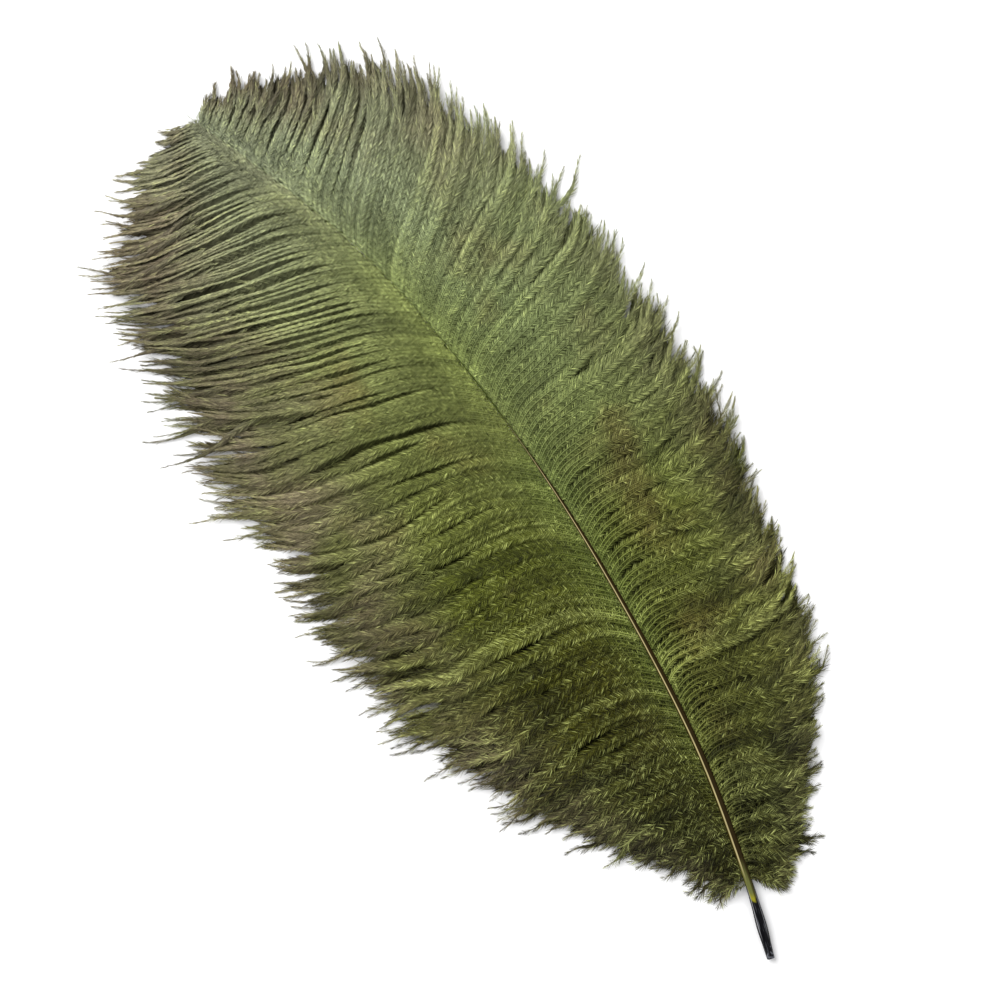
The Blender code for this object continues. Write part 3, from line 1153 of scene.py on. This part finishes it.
@dataclass(frozen=True)
class DyedBarbs:
    """Olive dye on the barbs: deep by the quill, sage towards the plume's end, browner at the barbs' ends,
    with painted shade, a painted highlight on the ribs and a painted sheen on the brightest blades.
    """

    name: str
    right_vane: tuple = marks_to_stops(
        (0.05, 53, 52, 15), (0.15, 69, 71, 28), (0.26, 99, 102, 42), (0.42, 100, 108, 44),
        (0.55, 120, 131, 78), (0.66, 133, 146, 96), (0.80, 145, 154, 118), (1.00, 132, 138, 111),
    )
    left_vane: tuple = marks_to_stops(
        (0.05, 46, 45, 10), (0.15, 54, 55, 10), (0.28, 74, 74, 12), (0.42, 92, 99, 32),
        (0.55, 116, 123, 64), (0.66, 129, 136, 82), (0.80, 143, 148, 109), (1.00, 136, 139, 112),
    )
    near_shaft: tuple = screen_colour(114, 126, 58)
    near_quill: tuple = screen_colour(84, 100, 46)
    # A pale tint mixed into the brightest blades as a painted sheen.
    pale: tuple = screen_colour(170, 178, 108)
    brown: tuple = screen_colour(120, 98, 56)
    grey_end: tuple = screen_colour(126, 115, 92)
    darkest: float = 0.14
    brightest: float = 1.80
    # A coat's painted shade: the first darkens all of it, the second its lower plume more.
    depth: float = 1.0
    depth_low: float = 1.0
    end_gain: float = 1.0
    roughness: float = 0.60
    sheen: float = 0.04
    specular: float = 0.12

    def make(self) -> bpy.types.Material:
        """Makes the material.

        Returns:
            The new material.
        """
        nodes = Nodes(self.name)
        at = BarbNumbers(*map(nodes.attribute, BarbNumbers._fields))
        on_right = at.side.span(-1.0, 1.0, 0.0, 1.0)
        tone = at.tone * at.plume.span(0.2, 0.6, 1.1, 0.65)
        colour = self._dye(nodes, at, on_right)
        # Painted sheen: the brightest blades are mixed towards the pale tint.
        colour = nodes.mix(tone.span(0.3, 3.0, 0.0, 0.5), colour, self.pale)
        shade = self._brightness(at, on_right, tone) * self._depth(nodes, at)
        return nodes.finish({
            "Base Color": nodes.mix(1.0, colour, nodes.grey(shade), "MULTIPLY"),
            "Roughness": nodes.noise(300.0).span(0.3, 0.7, self.roughness - 0.08, self.roughness + 0.1),
            "Sheen Weight": self.sheen,
            "Specular IOR Level": self.specular,
        })

    def _dye(self, nodes: Nodes, at: BarbNumbers, on_right: Number) -> bpy.types.NodeSocket:
        """The dye's colour, before light and shade.

        Args:
            nodes: The material's nodes.
            at: What the mesh says.
            on_right: 1 on the right vane and 0 on the left one.

        Returns:
            The colour.
        """
        share, _, plume, _, side = at
        colour = nodes.mix(on_right, nodes.ramp(plume, self.left_vane), nodes.ramp(plume, self.right_vane))
        inside = share.span(0.05, 0.35, 0.6, 0.0) * plume.span(0.45, 0.65, 0.0, 1.0)
        colour = nodes.mix(inside * plume.span(0.75, 0.90, 1.0, 0.0), colour, self.near_shaft)
        low_root = share.span(0.03, 0.20, 0.50, 0.0) * plume.span(0.15, 0.26, 0.0, 1.0)
        colour = nodes.mix(low_root * plume.span(0.50, 0.60, 1.0, 0.0), colour, self.near_quill)
        patches = nodes.noise(34.0).span(0.54, 0.72, 0.0, 0.4) * plume.span(0.1, 0.4, 0.4, 1.0)
        patches = patches * plume.span(0.6, 0.8, 1.0, 0.5) * share.span(0.12, 0.30, 0.15, 1.0)
        colour = nodes.mix(patches, colour, self.brown)
        outer = share + plume.span(0.4, 0.8, 0.0, 0.15)
        end = outer.span(0.5, 0.9, 0.0, 1.0) * plume.span(0.1, 0.6, 0.4, 1.0)
        end = end * side.span(-1.0, 1.0, 1.0, plume.span(0.70, 0.85, 0.5, 1.0))
        return nodes.mix(end * nodes.noise(38.0, 2.0).span(0.35, 0.6, 0.4, 1.0), colour, self.grey_end)

    def _brightness(self, at: BarbNumbers, on_right: Number, tone: Number) -> Number:
        """How bright a barb is: its own tone, what lies lighter or darker along the plume, painted shade in a
        coat's lower plume and a painted highlight on the ribs near the shaft.

        Args:
            at: What the mesh says.
            on_right: 1 on the right vane and 0 on the left one.
            tone: The tone of the barb, its tuft and its blade, with painted shade between tufts.

        Returns:
            What the colour is multiplied by.
        """
        share, _, plume, reach, _ = at
        bright = tone.span(-2.8, 2.8, self.darkest * self.depth, self.brightest * self.depth)
        # Painted shade that darkens a coat in the lower plume, lifting again towards the barbs' ends.
        lit = plume.span(0.3, 0.6, self.depth_low, 1.0).at_least(share.span(0.75, 0.92, 0.0, 0.8))
        low = share.span(0.05, 0.25, 0.20, 0.0) * plume.span(0.30, 0.50, 1.0, 0.0)
        edge = share.span(0.50, 0.80, 0.0, -0.42) * plume.span(0.74, 0.86, 1.0, 0.0)
        edge = edge * plume.span(0.55, 0.68, 0.0, 1.0) * (1.0 - on_right)
        top = share.span(0.40, 0.85, 0.0, -0.34) * plume.span(0.74, 0.86, 0.0, 1.0) * on_right
        root = share.span(0.02, 0.045, 1.0, 0.0) * reach.span(0.0, 0.3, -0.20, 0.10)
        # A painted highlight that lightens the ribs near the shaft in the lower plume.
        rib = reach.span(0.0, 0.04, 0.28, 0.0) * share.span(0.05, 0.25, 1.0, 0.0)
        rib = rib * plume.span(0.30, 0.55, 1.0, 0.0)
        ends = on_right * plume.span(0.25, 0.45, 1.0, 0.0) * share.span(0.60, 0.85, 0.0, 0.35)
        bright = bright * lit * share.span(0.80, 0.97, 1.0, self.end_gain)
        for gain in (low, edge, top, root, rib, ends):
            bright = bright * (1.0 + gain)
        return bright

    @staticmethod
    def _depth(nodes: Nodes, at: BarbNumbers) -> Number:
        """The painted shade between bundles of barbs and between their blades, and a painted highlight on the
        ribs.

        Args:
            nodes: The material's nodes.
            at: What the mesh says.

        Returns:
            What the colour is multiplied by.
        """
        share, _, plume, reach, side = at
        between = nodes.place(plume * 75.0, share * 3.0, side)
        depth = share.span(0.12, 0.40, 0.95, 0.50).at_least(plume.span(0.30, 0.50, 0.0, 0.92))
        # Painted shade in the gaps between bundles of barbs.
        gaps = nodes.noise(1.0, 2.0, between).span(0.38, 0.54, depth, 1.13)
        fine = nodes.noise(900.0, 2.0).span(0.35, 0.65, 0.86, 1.14)
        # Painted shade on the blades' outer parts near the shaft; the ribs are lightened as a painted
        # highlight and the blade tips darkened as painted shade.
        inner = reach * share.span(0.04, 0.10, 0.0, 1.0) * share.span(0.1, 0.45, 0.45, 0.0)
        return gaps * fine * reach.span(0.0, 0.9, 1.22, 0.86) * (1.0 - inner)


@dataclass(frozen=True)
class DyedHorn:
    """The quill and shaft: black horn with grey scuffs and a painted highlight line near each edge, and olive
    brown horn from the quill's mouth on, with a painted highlight on its left and painted shade on its right.
    """

    name: str = "dyed_horn"
    black: tuple = screen_colour(5, 5, 9)
    scuff: tuple = screen_colour(96, 98, 104)
    edge_grey: tuple = screen_colour(150, 150, 154)
    brown: tuple = screen_colour(38, 28, 4)
    # Round the top of the shaft: a tan strip left of the middle, partly the horn's own colour and partly a
    # painted highlight, and dark brown to its right, partly painted shade.
    narrow_groove: tuple = marks_to_stops(
        (0.0, 38, 28, 4), (0.18, 70, 66, 24), (0.25, 184, 170, 122), (0.33, 184, 170, 122), (0.40, 38, 28, 4)
    )
    broad_groove: tuple = marks_to_stops(
        (0.0, 38, 28, 4), (0.20, 38, 28, 4), (0.28, 184, 170, 122), (0.38, 184, 170, 122), (0.46, 38, 28, 4)
    )
    green: tuple = screen_colour(62, 72, 28)
    sage: tuple = screen_colour(104, 114, 66)
    tongue: tuple = screen_colour(102, 105, 56)
    tongue_end: tuple = screen_colour(146, 140, 34)
    tongue_start: float = 0.022
    tongue_run: float = 0.011
    tongue_half_width: float = 0.75
    tongue_round: float = 0.0014
    tongue_wander: float = 0.003
    tan_end: float = 0.222
    tan_fade: float = 0.014
    specular: float = 0.08

    def make(self) -> bpy.types.Material:
        """Makes the material.

        Returns:
            The new material.
        """
        nodes = Nodes(self.name)
        along, turn = nodes.attribute("along"), nodes.attribute("turn")
        aside = abs(turn)
        edge = aside.span(self.tongue_half_width, 1.2, 0.0, self.tongue_run)
        edge = edge + (aside / self.tongue_half_width) ** 2.0 * self.tongue_round + self.tongue_start
        past = along - (edge + (nodes.noise(500.0) - 0.5) * self.tongue_wander)
        streaks = nodes.noise(4.5, 5.0, nodes.place(turn, along * 28.0))
        horn = self._black_horn(nodes, along, turn, streaks)
        olive = self._olive_horn(nodes, along, turn, past)
        olive = nodes.mix(streaks.span(0.4, 0.7, 0.0, 0.35), olive, self.brown)
        bump = {"Height": streaks, "Strength": 0.5, "Distance": 0.0002}
        return nodes.finish({
            "Base Color": nodes.mix(past.span(-0.0004, 0.0006, 0.0, 1.0), horn, olive),
            "Roughness": nodes.noise(400.0).span(0.3, 0.7, 0.38, 0.58),
            "Specular IOR Level": self.specular,
            "Normal": nodes.add("ShaderNodeBump", bump)["Normal"],
        })

    def _black_horn(self, nodes: Nodes, along: Number, turn: Number, streaks: Number) -> bpy.types.NodeSocket:
        """The bare quill: black, scuffed in streaks and at its cut end, with a painted highlight line near
        each edge, the left one brighter.

        Args:
            nodes: The material's nodes.
            along: The distance from the cut end.
            turn: The angle round the tube from its top.
            streaks: Noise drawn out along the tube.

        Returns:
            The colour.
        """
        near_cut = along.span(0.0, 0.013, 1.25, 0.4) * nodes.noise(900.0, 4.0)
        worn = streaks.span(0.57, 0.66, 0.0, 0.75).at_least(near_cut.span(0.56, 0.66, 0.0, 0.9))
        # A painted highlight: a light line near each edge of the quill, brighter on the left.
        beside = abs(abs(turn) - along.span(0.0, 0.022, 0.66, 0.84))
        line = beside.span(0.05, 0.15, 1.0, 0.0) * along.span(0.007, 0.012, 0.0, 0.9)
        line = line * turn.span(-1.0, 1.0, 1.0, 0.55)
        return nodes.mix(line, nodes.mix(worn, self.black, self.scuff), self.edge_grey)

    def _olive_horn(self, nodes: Nodes, along: Number, turn: Number, past: Number) -> bpy.types.NodeSocket:
        """The shaft: a green tongue at the quill, then a tan strip, partly painted highlight, beside brown,
        partly painted shade, then green.

        Args:
            nodes: The material's nodes.
            along: The distance from the cut end.
            turn: The angle round the tube from its top.
            past: The distance past the edge of the black.

        Returns:
            The colour.
        """
        round_it = turn.span(-1.2, 1.2, 0.0, 1.0)
        facing = nodes.mix(
            along.span(0.12, 0.18, 0.0, 1.0),
            nodes.ramp(round_it, self.narrow_groove),
            nodes.ramp(round_it, self.broad_groove),
        )
        upper = nodes.mix(along.span(0.25, 0.33, 0.0, 1.0), self.green, self.sage)
        faded = along.span(self.tan_end - self.tan_fade, self.tan_end + self.tan_fade, 0.0, 1.0)
        facing = nodes.mix(faded, facing, upper)
        mouth = nodes.mix(past.span(0.001, 0.004, 1.0, 0.0), self.tongue, self.tongue_end)
        # The tongue's right side is browned, partly as painted shade.
        mouth = nodes.mix(turn.span(0.15, 0.45, 0.0, 0.8), mouth, self.brown)
        return nodes.mix(along.span(0.030, 0.040, 1.0, 0.0), facing, mouth)


@dataclass(frozen=True)
class PaleSurface:
    """The plain pale surface under the plume."""

    name: str = "pale_surface"
    light: tuple = screen_colour(250, 250, 250)
    dark: tuple = screen_colour(246, 246, 247)
    roughness: float = 0.85
    specular: float = 0.2

    def make(self) -> bpy.types.Material:
        """Makes the material.

        Returns:
            The new material.
        """
        nodes = Nodes(self.name)
        colour = nodes.mix(nodes.noise(40.0), self.light, self.dark)
        return nodes.finish(
            {"Base Color": colour, "Roughness": self.roughness, "Specular IOR Level": self.specular}
        )


@dataclass(frozen=True)
class Shaft:
    """The quill and the shaft, as one closed tube with a hollow cut end."""

    line: ShaftLine
    quill_radius: float = 0.0021
    rings: int = 150
    sides: int = 28
    crowding: float = 1.35
    taper: SmoothCurve = curve(
        (0.000, 0.72), (0.012, 0.80), (0.030, 1.00), (0.050, 0.86), (0.065, 0.78), (0.110, 0.76),
        (0.200, 0.66), (0.400, 0.42), (0.500, 0.25), (0.600, 0.13), (0.800, 0.09), (1.000, 0.05),
    )
    rim_share: float = 0.80
    bore_share: float = 0.52
    bore_narrowing: float = 0.9
    bore_rim_depth: float = 0.0002
    bore_depth: float = 0.0035
    quill_share: float = 0.075
    quill_fade: float = 0.03
    ridge_height: float = 0.00005
    ridge_count: int = 9
    top_flat: float = 0.12
    groove: float = 0.22

    def make(self, material: bpy.types.Material) -> bpy.types.Object:
        """Builds the piece.

        Args:
            material: The horn that it wears.

        Returns:
            The new object.
        """
        along = np.linspace(0, 1, self.rings) ** self.crowding
        middle = self.line.at(along)
        ahead = unit(np.gradient(middle, axis=0))
        across = unit(np.cross(ahead, UP))
        above = np.cross(across, ahead)
        turn = 2 * np.pi * np.arange(self.sides) / self.sides
        radius = self.quill_radius * self.taper(along)[:, None]
        quill = ease((self.quill_share - along) / self.quill_fade)[:, None]
        ridges = self.ridge_height * np.cos(self.ridge_count * turn)[None, :] * quill
        shape = 1 - self.top_flat * (1 - quill) * np.clip(np.cos(turn), 0, 1)[None, :] ** 6
        shape = shape - self.groove * (1 - quill) * np.clip(-np.cos(turn), 0, 1)[None, :] ** 10
        ring = across[:, None, :] * np.sin(turn)[:, None] + above[:, None, :] * np.cos(turn)[:, None]
        tube = middle[:, None, :] + ring * ((radius * shape) + ridges)[:, :, None]
        bore = (
            (self.bore_narrowing * self.bore_share, self.bore_depth),
            (self.bore_share, self.bore_rim_depth),
            (self.rim_share, 0.0),
        )
        inward = [middle[0] + ahead[0] * depth + ring[0] * (radius[0, 0] * share) for share, depth in bore]
        rows = np.concatenate((np.array(inward), tube))
        wrapped = np.where(turn > np.pi, turn - 2 * np.pi, turn)
        lengths = np.concatenate((np.zeros(len(bore)), along * self.line.plume_length))
        number = np.arange(rows.shape[0] * self.sides).reshape(rows.shape[0], self.sides)
        after = np.roll(number, -1, axis=1)
        faces = np.stack((number[:-1], number[1:], after[1:], after[:-1]), -1).reshape(-1, 4)
        ends = [number[0][None, :], number[-1][::-1][None, :]]
        level = np.linspace(0.02, 0.98, rows.shape[0])[:, None]
        round_it = (0.02 + 0.96 * np.arange(self.sides) / self.sides)[None, :]
        map_places = np.stack(np.broadcast_arrays(round_it, level), -1).reshape(-1, 2)
        parts = MeshParts()
        values = {"along": np.repeat(lengths, self.sides), "turn": np.tile(wrapped, rows.shape[0])}
        parts.add(rows.reshape(-1, 3), [faces, *ends], values, map_places)
        return parts.to_object("shaft", material)


@dataclass(frozen=True)
class Vanes:
    """Both vanes: three layers of barbs each, cut into pieces along the shaft."""

    line: ShaftLine
    locks: LockPlan = LockPlan()
    cuts: tuple[float, ...] = (0.0, 0.34, 0.60, 1.01)
    outer: BarbLayer = BarbLayer(
        coat=Coat.OUTER,
        seed=101,
        per_vane=200,
        lift=0.0005,
        height_share=1.0,
        heading_jitter=1.4,
        length_range=(0.83, 1.00),
        lock_pull=(0.0, 0.24),
        group_pull=(0.1, 0.75),
        strays=curve((0.0, 0.06), (0.4, 0.10), (0.6, 0.25), (1.0, 0.32)),
        even_ends=0.25,
    )
    under: BarbLayer = BarbLayer(
        coat=Coat.UNDER,
        first=0.079,
        seed=202,
        per_vane=175,
        lift=-0.0008,
        height_share=0.50,
        heading_jitter=1.6,
        length_range=(0.90, 0.98),
        lock_pull=(0.0, 0.05),
        group_pull=(0.0, 0.1),
        lock_lift=0.0,
        group_lift=0.0002,
        stepped_turn=0.0,
        turn_share=0.15,
        length_follow=0.5,
        even_ends=0.6,
    )
    fringe: BarbLayer = BarbLayer(
        coat=Coat.FRINGE,
        seed=303,
        per_vane=345,
        lift=0.0,
        height_share=0.75,
        heading_jitter=8.5,
        length_range=(0.87, 1.00),
        lock_pull=(0.0, 0.06),
        group_pull=(0.0, 0.3),
        barb_wave=0.0013,
        turn_share=0.15,
        strays=curve((0.0, 0.12), (0.4, 0.18), (0.6, 0.32), (1.0, 0.50)),
        length_follow=0.35,
        even_ends=0.9,
        start=0.50,
    )
    outer_barbules: Barbules = Barbules(
        seed=31,
        pitch=0.00030,
        width=0.00027,
        length=curve(
            (0.0, 0.0022), (0.12, 0.0028), (0.35, 0.0034), (0.8, 0.0040), (0.93, 0.0034), (1.0, 0.0018)
        ),
        angle=curve((0.0, 62), (0.3, 52), (0.6, 42), (0.8, 28), (0.9, 16), (1.0, 3)),
        lift=by_side(
            curve((0.0, -14), (0.1, -30), (0.28, -26), (0.45, -2), (0.7, 5), (1.0, 2)),
            curve((0.0, -26), (0.07, -24), (0.12, 2), (0.3, 10), (0.6, 8), (1.0, 2)),
        ),
        combed=by_side(
            curve((0.0, 0.0), (0.65, 0.0), (0.85, 0.5), (1.0, 0.7)),
            curve((0.0, 0.0), (0.5, 0.05), (0.72, 0.9), (1.0, 1.0)),
        ),
    )
    under_barbules: Barbules = Barbules(
        seed=47,
        pitch=0.00120,
        width=0.00055,
        length=curve((0.0, 0.0020), (0.2, 0.0040), (0.8, 0.0044), (1.0, 0.0055)),
        angle=curve((0.0, 50), (0.5, 44), (0.9, 26), (1.0, 12)),
        lift=by_side(curve((0.0, 6), (1.0, 0))),
        combed=by_side(curve((0.0, 0.0), (1.0, 0.2)), curve((0.0, 0.0), (1.0, 0.3))),
        ribs=False,
        bare_tip=0.0040,
        down_width=0.0058,
        down_points=40,
        down_end=0.97,
        down_fullness=3.5,
    )
    fringe_barbules: Barbules = Barbules(
        seed=61,
        pitch=0.00040,
        width=0.00025,
        length=curve((0.0, 0.0045), (0.6, 0.0048), (0.8, 0.0050), (0.93, 0.0036), (1.0, 0.0016)),
        angle=curve((0.0, 34), (0.6, 30), (0.8, 22), (0.9, 15), (1.0, 4)),
        lift=by_side(curve((0.0, 4), (1.0, 2))),
        combed=by_side(
            curve((0.0, 0.0), (0.65, 0.1), (0.85, 0.8), (1.0, 1.0)),
            curve((0.0, 0.0), (0.5, 0.2), (0.72, 0.9), (1.0, 1.0)),
        ),
        angle_jitter=10.0,
        blade_noise=0.9,
        down_width=0.0030,
        down_points=26,
        down_start=0.50,
        down_end=0.94,
        down_fullness=4.0,
    )

    def make(self, materials: dict[Coat, bpy.types.Material]) -> list[bpy.types.Object]:
        """Builds every piece of both vanes.

        Args:
            materials: The dye for each layer.

        Returns:
            The new objects.
        """
        drawn = self.locks.draw()
        pieces = []
        for growth, seen in ((RIGHT_GROWTH, RIGHT_SEEN), (LEFT_GROWTH, LEFT_SEEN)):
            for layer, barbules in (
                (self.outer, self.outer_barbules),
                (self.under, self.under_barbules),
                (self.fringe, self.fringe_barbules),
            ):
                run = layer.lay(growth, seen, self.line, self.locks, drawn[growth.side])
                for number, (start, end) in enumerate(zip(self.cuts, self.cuts[1:]), 1):
                    parts = MeshParts()
                    barbules.grow(run.part((run.along >= start) & (run.along < end)), parts)
                    name = f"{growth.side.name.lower()}_vane_{layer.coat.value}_{number}"
                    pieces.append(parts.to_object(name, materials[layer.coat]))
        return pieces


@dataclass(frozen=True)
class Studio:
    """The surface, the lights and the camera that looks straight down on the plume."""

    view_centre: tuple[float, float] = (-0.0040, 0.0068)
    view_width: float = 0.3876
    view_turn: float = -35.0
    lens_mm: float = 100.0
    sensor_mm: float = 36.0
    plane_height: float = 0.010
    floor_size: float = 6.0
    key_energy: float = 42.0
    fill_energy: float = 9.0
    world_light: float = 0.38

    def make(self) -> None:
        """Builds the studio."""
        self._make_floor()
        self._make_camera()
        self._make_lights()

    def _make_floor(self) -> None:
        """A level surface that reaches well out of view."""
        bpy.ops.mesh.primitive_plane_add(size=self.floor_size, location=(0, 0, 0))
        floor = bpy.context.object
        floor.name = "surface"
        floor.data.materials.append(PaleSurface().make())

    def _make_camera(self) -> None:
        """A long lens straight above, turned so that the plume lies across the frame."""
        camera = bpy.data.cameras.new("camera")
        camera.lens = self.lens_mm
        camera.sensor_width = self.sensor_mm
        camera.clip_end = 20.0
        holder = bpy.data.objects.new("camera", camera)
        bpy.context.scene.collection.objects.link(holder)
        distance = self.view_width * self.lens_mm / self.sensor_mm
        holder.location = (*self.view_centre, self.plane_height + distance)
        holder.rotation_euler = (0, 0, math.radians(self.view_turn))
        bpy.context.scene.camera = holder

    def _make_lights(self) -> None:
        """A broad soft light from the upper left, a weaker one opposite, and even light all round."""
        turn = Matrix.Rotation(math.radians(self.view_turn), 3, "Z")
        for name, place, size, energy in (
            ("key", (-0.9, 0.75, 1.1), 1.5, self.key_energy),
            ("fill", (1.0, -0.5, 1.3), 1.4, self.fill_energy),
        ):
            light = bpy.data.lights.new(name, "AREA")
            light.shape = "SQUARE"
            light.size = size
            light.energy = energy
            holder = bpy.data.objects.new(name, light)
            bpy.context.scene.collection.objects.link(holder)
            holder.location = turn @ Vector(place)
            holder.rotation_euler = (-holder.location).to_track_quat("-Z", "Y").to_euler()
        world = bpy.data.worlds.new("even_light")
        world.use_nodes = True
        background = world.node_tree.nodes["Background"]
        background.inputs["Color"].default_value = (1.0, 1.0, 1.0, 1.0)
        background.inputs["Strength"].default_value = self.world_light
        bpy.context.scene.world = world
        bpy.context.scene.view_settings.view_transform = "Standard"


def hand_over(piece: bpy.types.Object) -> None:
    """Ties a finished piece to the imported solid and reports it.

    Args:
        piece: The piece.
    """
    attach(piece, BODY)
    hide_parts(NODE)
    triangles = sum(len(p.vertices) - 2 for p in piece.data.polygons)
    log.info("%s: %d triangles", piece.name, triangles)


def main() -> None:
    """Builds the plume and its studio."""
    logging.basicConfig(level=logging.INFO, format="%(name)s: %(message)s")
    Studio().make()
    line = ShaftLine()
    hand_over(Shaft(line).make(DyedHorn().make()))
    # The under coat is darkened all over, and most in the lower plume, as painted shade beneath the outer
    # barbs; the fringe is darkened a little too.
    under_coat_painted_shade = DyedBarbs("dyed_barbs_below", depth=0.50, depth_low=0.32, end_gain=1.5, sheen=0.0, specular=0.03)
    dyes = {
        Coat.OUTER: DyedBarbs("dyed_barbs").make(),
        Coat.UNDER: under_coat_painted_shade.make(),
        Coat.FRINGE: DyedBarbs("dyed_barbs_fringe", depth=0.84).make(),
    }
    for piece in Vanes(line).make(dyes):
        hand_over(piece)


if __name__ == "__main__":
    main()
